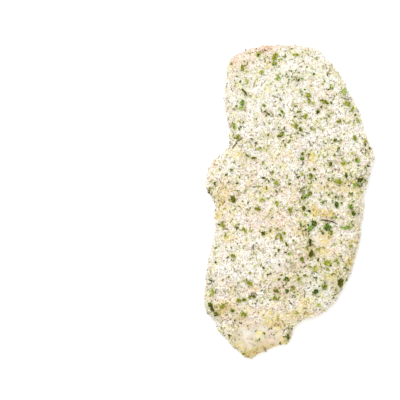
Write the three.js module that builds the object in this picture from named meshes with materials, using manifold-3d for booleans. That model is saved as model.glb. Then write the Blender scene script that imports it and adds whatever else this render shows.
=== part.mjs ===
// A breaded chicken schnitzel, raw: one slice of breast beaten flat, in a coat of fine crumbs and
// chopped parsley. It lies on its flat underside. Millimetres, +Z up, +Y towards the broad end.

import * as THREE from "three";
import { ConvexHull } from "three/addons/math/ConvexHull.js";
import { ImprovedNoise } from "three/addons/math/ImprovedNoise.js";
import { mergeVertices } from "three/addons/utils/BufferGeometryUtils.js";
import Module from "manifold-3d";

const wasm = await Module();
wasm.setup();

// Driving sizes.
const LENGTH = 180; // broad end to tip of the tail
const WIDTH = 97.5; // across the two side lobes
const BULK = 9.4; // thickness of most of the slice, coat included
const TAIL = 6.4; // thickness of the thin tail
const RIM_ROUND = 7; // how far in from the rim the upper side reaches its full thickness
const RIM_HEIGHT = 0.36; // height of the widest line of the rim, as a share of the thickness there
const FOOT_INSET = 2.2; // how far the underside is drawn in from the rim
const RIM_CRAG = 0.45; // how far crumbs push the rim in and out

// Fineness of the mesh.
const STATIONS = 172; // points round the rim
const ROUND_RINGS = [0.7, 2.2, 4.6]; // how far in from the rim the upper side has a ring of points
const GRID = 2.7; // spacing of the points inside the last ring
const CORE = new THREE.Vector2(0.1, 0.5); // what rings shrink towards: a share of the rim across and along

// The rim seen from above, clockwise from the left corner of the broad end, through its corners,
// lobes and notches.
const RIM = [
  [-33.5, 82], [-15.5, 89.5], [0, 90], [16, 87], [31, 69.5], // broad end
  [34, 62], [38, 56], [44, 37], [48.5, 27], [45.5, 17], [44, 9.5], [42, 3.5], // right side lobe
  [43, -1.5], [41, -11.5], [40, -21.5], [37.5, -31], [34, -42.5], [21, -62], // lower right edge
  [5.5, -68], [-1, -80.5], [-7, -81.5], [-13.5, -85], [-18, -86.5], [-21, -90], // tail
  [-40, -73], [-43, -66], [-47.5, -61], // left corner above the tail
  [-46.5, -39], [-44.5, -25.5], [-42, -17], [-42.5, -9], [-42, -0.5], // lower left edge
  [-47.5, 10.5], [-44, 23.5], [-38.5, 27.5], [-34, 32.5], [-33.5, 40], // left side lobe
  [-37, 58], [-35.5, 68.5], // upper left edge
];

// Broad swells of the upper side: centre, half-widths along X and Y, and rise.
const SWELLS = [
  { at: [-2, 48], reach: [34, 34], rise: 2.0 }, // thick end of the breast
  { at: [-27, -32], reach: [20, 17], rise: 2.4 }, // dome above the tail
  { at: [-38, 16], reach: [10, 13], rise: 1.6 }, // left side lobe
  { at: [36, 26], reach: [15, 17], rise: 1.0 }, // right side lobe
  { at: [28, -22], reach: [16, 34], rise: -0.9 }, // lower right edge, beaten thinner
  { at: [-8, 4], reach: [20, 14], rise: -0.6 }, // saddle at mid length
];

// Furrows pressed into the upper side: the line each follows, its depth and half-width.
const FURROWS = [
  { depth: 2.1, width: 2.6, line: [[8, -12], [7.5, -20], [10.5, -26], [12, -32]] }, // slit at the middle
  { depth: 1.1, width: 2.8, line: [[7.5, 27], [6, 12], [8.5, 2], [7.5, -9]] }, // its way up
  { depth: 1.5, width: 3.2, line: [[9, -33], [1, -38], [-3, -46], [-14, -54]] }, // its way down
  { depth: 1.0, width: 2.6, line: [[-26, -13], [-12, -17], [-5, -21], [-4, -30]] },
  { depth: 1.3, width: 2.4, line: [[-37, 29], [-28, 37]] }, // above the left side lobe
  { depth: 0.9, width: 2.6, line: [[18, 9], [30, 12], [41, 11]] },
];
const TAIL_FOLD = [[-47, -60], [-34, -61], [-21, -65], [-9, -62], [7, -67]]; // where the tail begins
const TAIL_STEP = 9; // length of the drop from there

// Lumps of the coat: how far apart they are and how far they rise and dip.
const LUMPS = [
  { size: 13, rise: 0.7 },
  { size: 6.5, rise: 0.65 },
  { size: 3.4, rise: 0.45 },
];

// Parsley. The largest flakes sit where they show: place, length, width and turn in degrees. The rest
// are spread evenly.
const LARGE_FLAKES = [
  [28.8, -45.7, 6, 5.2, 60], [21.2, -14.2, 5.4, 4.4, 60], [13.5, -12, 4.6, 3.4, 90],
  [26.4, -1.3, 5, 2.8, 100], [39.6, 12.4, 4, 3, 30], [31.9, 15, 4.4, 2, 95], [8, -3.2, 3.2, 2.4, 90],
  [-41.6, -63.2, 5, 3, 120], [-45, -58.3, 4.5, 3, 130], [-44, -61, 3.6, 2.4, 110],
  [-1.8, -43.6, 3.6, 2.8, 170], [-1.7, -50.4, 2.8, 2.4, 90], [12.2, -29.2, 5.6, 2.8, 80],
  [11.5, -22.8, 5, 1.8, 90], [-2, -24, 3.5, 1.4, 110], [-1, -77, 4.5, 2, 100],
  [36.2, -6.4, 4.2, 2.2, 120], [5.8, 41, 3.2, 2.2, 120], [5, 51, 3.4, 1.4, 5],
  [-12.5, 50, 3.2, 1.4, 145], [-5.2, 38, 5.8, 2.6, 35], [14.5, -51, 4, 3, 30],
  [-20.5, -53.4, 2.6, 2.2, 0], [-32.6, -61.6, 2.8, 2.2, 160], [22.8, 21.4, 3.2, 2.4, 80],
  [25.4, 35, 2.6, 2.2, 20], [15.7, 51, 2.6, 2, 60], [7.1, 27.4, 2.4, 1.8, 80],
  [-25.5, 62, 4.8, 1.4, 120], [-24.3, 26.4, 3.4, 1.4, 150], [-20.5, 25, 4, 1.4, 170],
  [-15.2, -17.8, 3.2, 2.6, 20], // dark
  [11.6, -15, 4.4, 3, 50], [34.5, -2.8, 4.2, 3.4, 100], [8, 2.8, 4, 2.4, 70], [11, 4.6, 4.2, 1.8, 45],
  [31.8, -14.4, 6.4, 2.2, 8], [-32.2, 1.7, 4.6, 3.2, 120], [0, -4.5, 4.5, 1.6, 110],
  [-5, -20, 5.5, 1.6, 100], [19.4, 56.9, 6.6, 2.2, 155], [37, 10, 4, 2.2, 55], [7, 24.5, 2.8, 2.4, 0],
  [-7.5, 10.7, 3, 2.8, 90], [35.5, 52.5, 4.5, 2, 50], [-27, 56.4, 4.4, 2.4, 80],
  [-27, 76, 4.4, 2, 100], [37.9, 23.7, 3.4, 3, 10], [6.8, -32.2, 3.4, 3.2, 0],
  [-25.9, -15.8, 4.4, 1.9, 125], [-38, -59.2, 3.4, 2.2, 70], [-6.8, 70, 3.4, 2.4, 40],
  [38.5, 46.3, 4, 1.5, 125], [26.9, -33.9, 3.8, 1.6, 115], [-9, 78.2, 4, 2.4, 20],
  [12, 14.5, 3.5, 2.2, 110], [-31.8, 43, 4.6, 2.2, 110], [-32.4, -30.4, 4, 2.4, 160],
  [20, -48.2, 4, 2.4, 40], [34.5, -25.1, 2.8, 2.2, 20], [-18.4, -4, 3.6, 2.4, 170],
  [-29, -55.9, 3, 2.6, 0], [-8.8, -54.4, 3, 2.2, 60], [-26.4, -63.6, 4.6, 2.8, 150],
  [27.6, 45.6, 3, 1.9, 20], [-29.8, 36.9, 3.6, 2, 60], [-0.3, -29.4, 2.2, 2, 0],
  [-4.5, 51, 3, 1.8, 140], // green
  [31, 63, 4.6, 3.2, 70], [32.6, 55.7, 4.4, 3.8, 160], [27.8, 11.5, 6.4, 3.2, 170],
  [21.6, -34.8, 5.2, 3.8, 30], [3.4, 43, 3.4, 3, 60], [10.1, 60.3, 3.6, 3, 140],
  [10.7, 56.9, 4.4, 2, 90], [8.7, 48.5, 3.4, 2.8, 60], [-8.6, 82.2, 5.6, 3, 65],
  [3.4, 83.4, 5, 1.6, 0], [36.8, 36.5, 3.6, 2.2, 110], [-7.5, -1, 4.2, 2.3, 105],
  [-38, -13.3, 3.8, 2.4, 120], [23.1, -17.6, 4, 2.4, 110], [-44, -51, 5, 2.2, 100],
  [16.5, -58.5, 3, 1.8, 170], [-23, -46, 5, 2.4, 150], [-27.8, 53.2, 3.5, 2, 30],
  [14.4, -37.8, 3.6, 2.8, 80], [5.1, -43.8, 3.4, 2.2, 100], [-25.6, -55.3, 3, 1.9, 150],
  [-17.6, 84.4, 3.4, 2.4, 30], [-15.8, 1.2, 3.2, 1.9, 20], [-16, 73.7, 3.2, 2, 20],
  [-24.6, 68.2, 3.2, 2, 100], [31.1, 22.2, 2.4, 2.2, 80], // pale
];
const SMALL_FLAKES = 64;
const SMALL_FLAKE = [1.8, 2.8]; // shortest and longest
const SMALL_WIDTH = 0.62; // share of a small flake's length
const FLAKE_THICKNESS = 0.9; // about half of it stands out of the coat
const FLAKE_CORNERS = 6;
const FLAKE_TILT = 0.14; // radians off the surface
const STEEPEST = 0.6; // flakes lie where the surface's normal points up by more than this

const noise = new ImprovedNoise();
const { clamp, lerp, smoothstep, euclideanModulo, degToRad } = THREE.MathUtils;
const draw = (item, use) => euclideanModulo(Math.sin(item * 12.9898 + use * 78.233) * 43758.5453, 1);

const flat = (points) => points.map(([x, y]) => new THREE.Vector3(x, y, 0));

// The rim as points at equal steps, fitted to the driving length and width and centred.
function rimPoints() {
  const curve = new THREE.CatmullRomCurve3(flat(RIM), true, "centripetal");
  const points = curve.getSpacedPoints(STATIONS).slice(0, STATIONS);
  points.forEach((p, i) => p.multiplyScalar(1 + (RIM_CRAG * (draw(i, 1) - 0.5) * 2) / p.length()));
  const box = new THREE.Box3().setFromPoints(points);
  const size = box.getSize(new THREE.Vector3());
  const centre = box.getCenter(new THREE.Vector3());
  return points.map((p) => p.sub(centre).multiply(new THREE.Vector3(WIDTH / size.x, LENGTH / size.y, 1)));
}

const rim = rimPoints();

function distanceToLine(x, y, points, closed = false) {
  const p = new THREE.Vector3(x, y, 0);
  const foot = new THREE.Vector3();
  let nearest = Infinity;
  for (let i = closed ? 0 : 1; i < points.length; i++) {
    new THREE.Line3(points.at(i - 1), points[i]).closestPointToPoint(p, true, foot);
    nearest = Math.min(nearest, foot.distanceTo(p));
  }
  return nearest;
}

const furrows = FURROWS.map((f) => ({ ...f, line: new THREE.CatmullRomCurve3(flat(f.line)).getPoints(12) }));
const foldCurve = new THREE.CatmullRomCurve3(flat(TAIL_FOLD));

// How far past the tail's fold a point lies: 0 above it, 1 where the drop from it has ended.
function pastFold(x, y) {
  const along = clamp((x - TAIL_FOLD[0][0]) / (TAIL_FOLD.at(-1)[0] - TAIL_FOLD[0][0]), 0, 1);
  return 1 - smoothstep(y, foldCurve.getPoint(along).y - TAIL_STEP, foldCurve.getPoint(along).y);
}

// Thickness of the slice at a point, before the rim rounds it off.
function thickness(x, y) {
  let t = BULK;
  for (const { at, reach, rise } of SWELLS)
    t += rise * Math.exp(-(((x - at[0]) / reach[0]) ** 2) - ((y - at[1]) / reach[1]) ** 2);
  t = lerp(t, TAIL, pastFold(x, y));
  for (const { depth, width, line } of furrows)
    t -= depth * Math.exp(-((distanceToLine(x, y, line) / width) ** 2));
  for (const { size, rise } of LUMPS) t += rise * noise.noise(x / size, y / size, size);
  return t;
}

const rimHeight = (p) => RIM_HEIGHT * thickness(p.x, p.y);

// Height of the upper side: from the rim's widest line it rises along a quarter of an ellipse.
function topHeight(x, y) {
  const inset = clamp(distanceToLine(x, y, rim, true) / RIM_ROUND, 0, 1);
  const t = thickness(x, y);
  return lerp(RIM_HEIGHT * t, t, Math.sqrt(1 - (1 - inset) ** 2));
}

// The rim drawn in by about a distance, each point on its way to the core, at a height worked out from it.
function drawnIn(inset, heightAt) {
  const share = inset / ((LENGTH / 2) * (1 - CORE.y));
  return rim.map(({ x, y }) => {
    const p = new THREE.Vector3(x * lerp(1, CORE.x, share), y * lerp(1, CORE.y, share), 0);
    return p.setZ(heightAt(p));
  });
}

// Whether a point lies inside a ring, by the crossings of a line to its right.
function isInside({ x, y }, ring) {
  let inside = false;
  ring.forEach((b, i) => {
    const a = ring.at(i - 1);
    if (a.y > y !== b.y > y && x < a.x + ((b.x - a.x) * (y - a.y)) / (b.y - a.y)) inside = !inside;
  });
  return inside;
}

// Points in a triangular grid inside a ring, a little shaken, none close to it.
function gridInside(ring) {
  const outline = ring.map(({ x, y }) => new THREE.Vector3(x, y, 0));
  const points = [];
  const row = GRID * Math.sqrt(0.75);
  for (let j = -Math.ceil(LENGTH / 2 / row); j * row < LENGTH / 2; j++)
    for (let i = -Math.ceil(WIDTH / 2 / GRID); i * GRID < WIDTH / 2; i++) {
      const item = i + 1000 * j;
      const x = (i + 0.5 * (j & 1) + 0.2 * draw(item, 31)) * GRID;
      const p = new THREE.Vector3(x, j * row + 0.2 * GRID * draw(item, 32), 0);
      if (isInside(p, outline) && distanceToLine(p.x, p.y, outline, true) > 0.65 * GRID) points.push(p);
    }
  return points;
}

// Triangles between points in the plane, as even as they can be: the underside of the hull of the
// points lifted onto a bowl.
function evenTriangles(points) {
  const lifted = points.map((p) => new THREE.Vector3(p.x, p.y, (p.x * p.x + p.y * p.y) / LENGTH));
  const index = new Map(lifted.map((p, i) => [p, i]));
  const hull = new ConvexHull().setFromPoints(lifted);
  return hull.faces
    .filter((face) => face.normal.z < 0)
    .map((face) => [0, 1, 2].map((k) => index.get(face.getEdge(k).head().point)).reverse());
}

// The slice: a flat underside, rings of points round the rim, and a grid over the rest of the upper side.
function sliceGeometry() {
  const upper = (p) => topHeight(p.x, p.y);
  const rings = [
    drawnIn(FOOT_INSET, () => 0),
    drawnIn(0.3 * FOOT_INSET, (p) => 0.4 * rimHeight(p)),
    drawnIn(0, rimHeight),
    ...ROUND_RINGS.map((inset) => drawnIn(inset, upper)),
  ];
  const last = rings.at(-1);
  const grid = gridInside(last);
  grid.forEach((p) => p.setZ(upper(p)));

  const faces = [];
  for (let r = 0; r + 1 < rings.length; r++)
    for (let i = 0; i < STATIONS; i++) {
      const [a, b] = [r * STATIONS + i, r * STATIONS + ((i + 1) % STATIONS)];
      const [c, d] = [a + STATIONS, b + STATIONS];
      faces.push([a, c, b], [b, c, d]);
    }
  for (const [a, b, c] of THREE.ShapeUtils.triangulateShape(rings[0], [])) faces.push([a, c, b]);
  const top = [...last, ...grid];
  for (const triangle of evenTriangles(top)) {
    const centre = new THREE.Vector3();
    triangle.forEach((i) => centre.addScaledVector(top[i], 1 / 3));
    if (isInside(centre, last)) faces.push(triangle.map((i) => (rings.length - 1) * STATIONS + i));
  }

  const geometry = new THREE.BufferGeometry().setFromPoints([...rings.flat(), ...grid]);
  return geometry.setIndex(faces.flat());
}

function solidOf(geometry) {
  const bare = new THREE.BufferGeometry().setAttribute("position", geometry.getAttribute("position"));
  const merged = mergeVertices(bare.setIndex(geometry.index), 1e-4);
  const vertProperties = new Float32Array(merged.getAttribute("position").array);
  return new wasm.Manifold(
    new wasm.Mesh({ numProp: 3, vertProperties, triVerts: new Uint32Array(merged.index.array) }),
  );
}

function geometryOf(solid) {
  const { vertProperties, triVerts } = solid.getMesh();
  const geometry = new THREE.BufferGeometry();
  geometry.setAttribute("position", new THREE.BufferAttribute(vertProperties, 3));
  return geometry.setIndex(new THREE.BufferAttribute(triVerts, 1));
}

// Places of the small flakes: a spiral of equal areas, shaken a little, as far as it falls on the slice.
function smallFlakes() {
  const golden = Math.PI * (3 - Math.sqrt(5));
  const places = [];
  for (let i = 0; i < SMALL_FLAKES; i++) {
    const turn = i * golden + draw(i, 2);
    const out = (LENGTH / 2) * Math.sqrt((i + 0.5) / (2 * SMALL_FLAKES));
    const length = lerp(...SMALL_FLAKE, draw(i, 3));
    const width = SMALL_WIDTH * length;
    places.push([out * Math.cos(turn), out * Math.sin(turn), length, width, 360 * draw(i, 4)]);
  }
  return places;
}

// A bit of leaf: an uneven polygon with some thickness, lying in the XY plane.
function flakeGeometry(length, width, item) {
  const corners = Array.from({ length: FLAKE_CORNERS }, (_, k) => {
    const turn = ((k + 0.5 * draw(item, 10 + k)) / FLAKE_CORNERS) * 2 * Math.PI;
    const out = lerp(0.85, 1.2, draw(item, 20 + k)) / 2;
    return new THREE.Vector2(length * out * Math.cos(turn), width * out * Math.sin(turn));
  });
  const settings = { depth: FLAKE_THICKNESS, bevelEnabled: false };
  return new THREE.ExtrudeGeometry(new THREE.Shape(corners), settings).translate(0, 0, -FLAKE_THICKNESS / 2);
}

// Lays a flake on the slice at a place, following its surface, or returns nothing off the slice and
// on its steep rim.
function laidFlake(slice, [x, y, length, width, turn], item) {
  const ray = new THREE.Raycaster(new THREE.Vector3(x, y, 3 * BULK), new THREE.Vector3(0, 0, -1));
  const [hit] = ray.intersectObject(slice);
  if (!hit || hit.face.normal.z < STEEPEST) return null;
  const tilt = new THREE.Euler(
    FLAKE_TILT * (2 * draw(item, 5) - 1),
    FLAKE_TILT * (2 * draw(item, 6) - 1),
    degToRad(turn),
  );
  const lie = new THREE.Quaternion().setFromUnitVectors(new THREE.Vector3(0, 0, 1), hit.face.normal);
  return flakeGeometry(length, width, item)
    .applyQuaternion(lie.multiply(new THREE.Quaternion().setFromEuler(tilt)))
    .translate(...hit.point);
}

const coat = new THREE.MeshStandardMaterial({ color: 0xeae2ca, roughness: 0.9, metalness: 0 });
const slice = new THREE.Mesh(sliceGeometry(), coat);

const flakes = [...LARGE_FLAKES, ...smallFlakes()]
  .map((place, item) => laidFlake(slice, place, item))
  .filter(Boolean)
  .map(solidOf);

const schnitzel = new THREE.Mesh(geometryOf(wasm.Manifold.union([solidOf(slice.geometry), ...flakes])), coat);
schnitzel.name = "schnitzel";

const part = new THREE.Group();
part.name = "breaded_chicken_schnitzel";
part.add(schnitzel);

export default part;
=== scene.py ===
"""The finish of a raw breaded chicken schnitzel: its coat of crumbs, the parsley in it, and a plain
studio. Metres, +Z up, +Y towards the broad end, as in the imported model."""

import math

import bpy
import numpy as np
from mathutils import Euler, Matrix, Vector
from mathutils.bvhtree import BVHTree
from mathutils.kdtree import KDTree


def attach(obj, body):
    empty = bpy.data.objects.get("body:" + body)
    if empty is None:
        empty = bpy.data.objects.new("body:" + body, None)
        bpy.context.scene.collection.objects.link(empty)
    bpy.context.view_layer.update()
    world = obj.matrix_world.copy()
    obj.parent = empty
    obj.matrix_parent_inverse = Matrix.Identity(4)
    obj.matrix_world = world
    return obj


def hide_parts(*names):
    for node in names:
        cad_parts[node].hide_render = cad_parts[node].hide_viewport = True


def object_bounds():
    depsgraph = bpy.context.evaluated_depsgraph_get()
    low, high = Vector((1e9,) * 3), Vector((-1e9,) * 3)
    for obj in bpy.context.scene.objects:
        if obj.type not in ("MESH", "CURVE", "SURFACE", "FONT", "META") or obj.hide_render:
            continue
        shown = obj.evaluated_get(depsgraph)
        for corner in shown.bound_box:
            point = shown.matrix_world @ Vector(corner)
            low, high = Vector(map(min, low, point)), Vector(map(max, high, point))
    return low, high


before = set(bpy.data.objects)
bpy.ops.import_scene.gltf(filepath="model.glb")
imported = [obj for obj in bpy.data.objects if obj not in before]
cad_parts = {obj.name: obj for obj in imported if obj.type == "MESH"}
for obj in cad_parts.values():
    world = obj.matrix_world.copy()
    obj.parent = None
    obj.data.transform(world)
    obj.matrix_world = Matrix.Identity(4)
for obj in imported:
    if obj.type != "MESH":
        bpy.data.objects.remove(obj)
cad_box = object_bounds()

MM = 0.001
LENGTH = cad_box[1].y - cad_box[0].y

# The photograph in pixels: its side, and the schnitzel's middle and length in it.
PHOTO_SIDE_PX = 400
MIDDLE_PX = (289.5, 202)
LENGTH_PX = 316
PIXEL = LENGTH / LENGTH_PX

# The coat under its crumbs.
GRAIN_MESH = 0.62 * MM  # how fine the mesh of the coat is
COAT_INSET = 0.8 * MM  # how deep the bed of the crumbs lies under the outer surface
JUICE_REACH = 1.1 * MM  # how far from a leaf the crumbs are stained
FLAKE_JUICE = 0.9  # how many mm past a large flake's rim they are stained
FLOOR_GAP = 0.02 * MM  # how high the lowest point lies

# Where the coat shows something of its own: x and y of the middle, reach along x and y, all in mm, and
# how strongly. Thin and wet:
THIN_SPOTS = {
    "tail": (-19, -77.5, 15, 8, 1.1),
    "edge of the tail": (-12, -83.5, 12, 4, 0.9),
    "tail above its tip": (-15, -72, 12, 5, 0.5),
    "bare meat on the rim": (-14, 89, 6, 2.6, 1.3),
    "flank of the left lobe": (-43, 9, 4.5, 9, 0.35),
    "left of the furrow": (2.5, -18, 4, 8, 0.3),
}
# Thin and wet too, but only on the rim's side:
BARE_RIMS = {
    "broad end": (-16, 84, 30, 14, 1.3),
    "tail": (-14, -84, 16, 8, 1.3),
}
# Stained yellow or tan by egg and spice:
WARM_SPOTS = {
    "flank of the left lobe": (-40, 7, 7, 7, 0.7),
    "under the left lobe": (-38.5, -2, 2.5, 6, 1.0),
    "drop on the left edge": (-42, -8, 1.6, 1.8, 1.8),
    "left of the middle": (-34, -21, 3.5, 2.5, 0.9),
    "over the left lobe": (-30, 27, 5, 2.5, 0.8),
    "middle": (12, 25.5, 3.5, 3.5, 1.0),
    "under the middle": (-13, 7.5, 3, 2.5, 1.0),
    "beside the stalk": (14, -4.5, 2.2, 3.5, 1.3),
    "above the stalk": (20.5, -6.5, 5.5, 2.6, 1.3),
    "under the stalk": (20, -21, 3, 2.4, 0.5),
    "right of the stalk": (36.5, -23, 4, 3.5, 0.7),
    "right of the furrow": (29, 10, 10, 4, 0.5),
    "right of the slit's end": (20, -20, 4, 3, 0.6),
    "under the saddle's foot": (-12, -63, 4, 3, 0.8),
    "lower right edge": (33.8, -33.6, 2.6, 4, 1.3),
    "lower right": (9, -57, 5, 4.5, 0.7),
    "right side lobe": (42, 34.5, 3.5, 2.4, 0.7),
    "left edge of the broad end": (-33, 76, 2.5, 7, 0.3),
    "right shoulder": (31, 46, 5, 3, 0.5),
    "top of the right shoulder": (29, 61, 3, 4, 0.3),
    "under the middle of the left": (-10, 25, 5, 3, 0.4),
    "furrow": (17, 8, 4, 3, 0.6),
    "under the saddle": (-10, -18, 6, 4, 0.7),
    "left of the broad end": (-12, 78, 4, 3, 0.7),
    "right edge": (36, 5, 6, 10, 0.4),
    "left of the furrow": (7, -15, 5, 6, 0.7),
    "right of the slit": (15, -28, 9, 4, 0.8),
    "right of the way down": (25, -41, 6, 5, 0.6),
    "foot of the dome": (4, -44, 6, 4, 0.4),
    "under the dome": (-20, -48, 5, 3, 0.5),
    "left above the tail": (-37, -60, 7, 5, 1.0),
    "above the tail": (-27, -66, 4.5, 2.5, 0.4),
    "foot of the coat": (5, -64, 9, 3, 0.9),
    "tail fold": (-8.5, -69, 7, 3, 1.4),
    "tip of the tail": (-21, -87, 9, 4, 1.2),
    "edge of the tail": (-8, -82.5, 8, 2.2, 1.1),
    "left edge of the tail": (-29, -81, 4, 4, 0.5),
    "middle of the tail": (-17.5, -75, 2, 2.5, 0.9),
    "right corner of the tail": (-4, -77, 4, 5, 0.5),
}
# Pink, where meat shows through:
PINK_SPOTS = {
    "rim of the broad end": (-16, 88, 9, 4, 1.0),
    "bare meat on the rim": (-13.2, 88.6, 4.2, 3, 3.2),
    "corner of the broad end": (-31, 82, 8, 7, 0.7),
    "broad end": (-24, 76, 4, 6, 0.5),
    "furrow": (4, 1, 3, 6, 0.5),
    "left of the furrow": (4, -17, 5, 8, 0.5),
    "right of the slit": (25, -29, 5, 4, 0.4),
    "foot of the slit": (7, -33, 4, 7, 0.8),
    "middle": (-6, -11, 8, 6, 0.6),
    "above the dome": (-20, -15, 5, 4, 0.6),
    "saddle": (-21, -7, 11, 5, 0.5),
    "left of the middle": (-8, 5, 8, 4, 0.5),
    "left lobe": (-35, 6, 6, 7, 0.8),
    "right shoulder": (17, 62, 5, 4, 0.4),
    "right of the middle": (20, 14, 5, 5, 0.3),
    "under the stalk": (20, -22, 5, 5, 0.9),
    "right edge": (33, -5, 8, 6, 0.3),
    "dome": (-25, -26, 10, 8, 0.3),
    "under the dome": (-22, -50, 6, 5, 0.9),
    "way down from the slit": (-6, -39, 7, 4, 0.5),
    "foot of the dome": (-4, -49, 7, 5, 0.8),
    "under the foot": (-14, -61, 12, 3, 0.6),
    "left above the tail": (-35, -60, 5, 4, 1.7),
    "above the tail": (-28, -68, 7, 4, 1.0),
    "foot of the coat": (4, -65, 7, 3, 1.0),
    "tail": (-8, -81, 8, 3.5, 1.2),
}
# Cool, where the white crumbs are faintly green:
COOL_SPOTS = {
    "broad end": (10, 74, 24, 14, 0.9),
    "left of the broad end": (-20, 65, 16, 14, 0.8),
    "right shoulder": (33, 58, 6, 10, 0.9),
    "upper left": (-28, 54, 9, 6, 0.6),
    "right side lobe": (38, 36, 8, 6, 1.3),
    "middle": (-5, 19, 20, 6, 0.7),
    "upper middle": (-15, 42, 14, 8, 0.5),
    "right of the furrow": (29, 0, 9, 4, 1.1),
    "beside the stalk": (12, -13, 4, 5, 1.2),
    "left edge": (-42, -32, 4, 13, 0.9),
    "lower right": (15, -48, 7, 8, 1.1),
    "lower right edge": (21, -56, 7, 4, 0.9),
    "corner above the tail": (-46, -60, 4, 4, 1.2),
    "tail": (-20, -74, 8, 3, 0.6),
}
# Dull and olive: partly painted shade, on the darker lower right, in the furrow and its slits, along the
# edges and
# on the tail's rim, and partly olive, where little white lies on the parsley and the wet crumbs:
DULL_SHADE_SPOTS = {
    "lower right": (25, -38, 13, 24, 0.35),
    "middle of the slit": (3, -26, 5, 3, 1.0),
    "top of the dome": (-22, -27, 5, 4, 0.6),
    "under the notch": (-26, 25, 5, 3, 0.4),
    "over the left lobe": (-23, 16, 4, 3, 0.7),
    "over the middle": (0, 26, 14, 3.5, 0.35),
    "right shoulder": (22, 48.5, 5, 3, 0.7),
    "right of the shoulder": (33, 48, 3, 3, 0.6),
    "top of the right shoulder": (30, 61, 3, 3, 0.8),
    "top of the middle": (4, 69, 3, 4, 0.9),
    "under the top": (6, 61, 4, 3, 0.5),
    "corner of the broad end": (-32, 74, 3, 5, 0.7),
    "right of the furrow": (28, 3, 6, 3, 0.9),
    "right edge under the stalk": (37, -24, 3, 5, 0.6),
    "left edge": (-39, -10, 3, 6, 0.6),
    "beside the stalk": (20, -8, 6, 3, 1.1),
    "slit": (14, -28.5, 3, 3, 0.8),
    "right lower edge": (34, -37, 4, 5, 1.0),
    "right of the way down": (25, -43, 4, 3, 0.8),
    "middle under the dome": (-25, -48, 5, 3, 1.0),
    "right edge": (37, -8, 5, 14, 0.8),
    "slit of the furrow": (10.5, -22, 2.6, 8, 0.8),
    "end of the slit": (12.8, -29.5, 2.8, 2.8, 1.5),
    "way down from the slit": (2, -37, 6, 3, 1.4),
    "foot of the dome": (3, -46, 6, 3.5, 1.3),
    "under the foot": (-6, -52, 5, 4, 1.1),
    "under the dome": (-34, -51, 8, 3, 0.8),
    "left edge of the dome": (-44, -43, 3, 10, 0.7),
    "foot of the coat": (-3, -60, 4, 3, 0.9),
    "corner above the tail": (-42, -64, 3, 3, 0.7),
    "left edge of the tail": (-31, -79, 3.5, 8, 1.4),
    "tip of the tail": (-20, -87, 10, 4.5, 2.6),
    "edge of the tail": (-8, -83, 9, 3, 2.4),
    "tail": (-14, -79, 12, 4, 0.5),
    "middle of the tail": (-17.5, -75, 4, 3, 1.0),
    "right corner of the tail": (-0.5, -77, 2.4, 4, 1.1),
    "right side lobe": (34, 10.5, 5, 3, 1.0),
    "middle": (23.5, 21.5, 3.2, 3.2, 1.1),
    "broad end": (-16, 79, 5, 3, 0.6),
    "bare meat on the rim": (-15, 88.5, 8, 3, 0.6),
    "saddle": (-6, -21, 6, 3, 0.4),
}
# White, where dry crumbs lie thick:
FLOUR_SPOTS = {
    "broad end": (0, 56, 24, 22, 0.8),
    "right of the middle": (13, 39, 5, 5, 0.8),
    "dome": (-24, -31, 15, 12, 1.0),
    "left lobe": (-35, 20, 6, 4, 1.4),
    "middle": (3, 16, 5, 5, 0.5),
    "upper middle": (10, 33, 4, 5, 0.6),
    "left of the middle": (-14, 18, 4, 6, 0.5),
    "right of the shoulder": (34, 37, 6, 6, 0.9),
    "right": (21, 36, 4, 7, 0.7),
    "right of the stalk": (29, -17, 5, 3, 0.9),
    "under the stalk": (17, -21, 4, 3, 0.8),
    "right of the dome": (-7, -35, 4, 4, 0.9),
    "foot of the dome": (-30, -39, 8, 4, 1.3),
    "under the dome": (-23, -54, 6, 3, 1.0),
    "left edge": (-41, -50, 5, 6, 0.6),
    "top": (1, 50, 4, 3, 0.6),
    "left of the top": (-12, 70, 4, 4, 0.5),
    "over the dome": (-20, -10, 8, 7, 0.6),
    "right middle": (28, 48, 8, 6, 0.5),
}
# Where parsley has gathered:
PARSLEY_SPOTS = {
    "right side lobe": (37, 11.5, 7, 4.5, 0.8),
    "slit of the furrow": (11, -21, 2.6, 7, 0.8),
    "furrow above it": (8, 6, 2.8, 13, 0.9),
    "beside the stalk": (24, -14, 11, 3, 0.4),
    "lower right": (20, -42, 11, 11, 0.35),
    "foot of the dome": (-3, -46, 4, 7, 0.3),
    "corner above the tail": (-44, -61, 4, 4, 1.0),
    "left edge": (-45, -47, 2.5, 9, 0.6),
    "right corner of the tail": (-1, -77, 2.4, 5, 1.6),
    "left edge of the tail": (-37, -74, 3, 7, 0.8),
    "middle of the broad end": (2, 70.5, 5, 3, 1.1),
    "above the left lobe": (-33.5, 40, 4, 6, 0.6),
    "right": (27, 34, 4, 12, 0.6),
    "saddle": (-9, -19, 7, 3, 0.6),
    "under the dome": (-31, -49, 8, 3, 0.3),
    "right shoulder": (32, 58, 5, 8, 0.4),
    "flank of the left lobe": (-45, 2, 3.5, 6, 1.6),
    "bare under the stalk": (17, -21, 4, 3, -0.8),
    "bare right of the stalk": (30, -17.5, 4, 2, -0.8),
    "bare on the side lobe": (40, 5, 4, 3, -0.4),
    "bare over the slit": (15, -4, 3, 4, -0.3),
    "bare on the saddle": (-20, -8, 6, 7, -0.3),
    "bare on the dome": (-28, -40, 8, 4, -0.3),
}
# Where parsley is fresh green, and not olive:
FRESH_SPOTS = {
    "beside the stalk": (22, -8, 16, 10, 1.0),
    "furrow": (10, -12, 6, 12, 0.6),
    "right side lobe": (38, 18, 8, 10, 0.7),
    "right shoulder": (32, 58, 8, 10, 0.7),
    "notch": (-36, 42, 8, 9, 1.0),
    "upper left": (-27, 55, 6, 7, 0.5),
    "broad end": (-9, 76, 5, 4, 0.5),
    "top": (8, 69, 18, 6, 0.8),
    "middle": (7, 24, 5, 5, 0.7),
    "lower right": (14.5, -51, 7, 6, 0.8),
    "right of the dome": (0, -29, 4, 4, 1.0),
}

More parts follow.
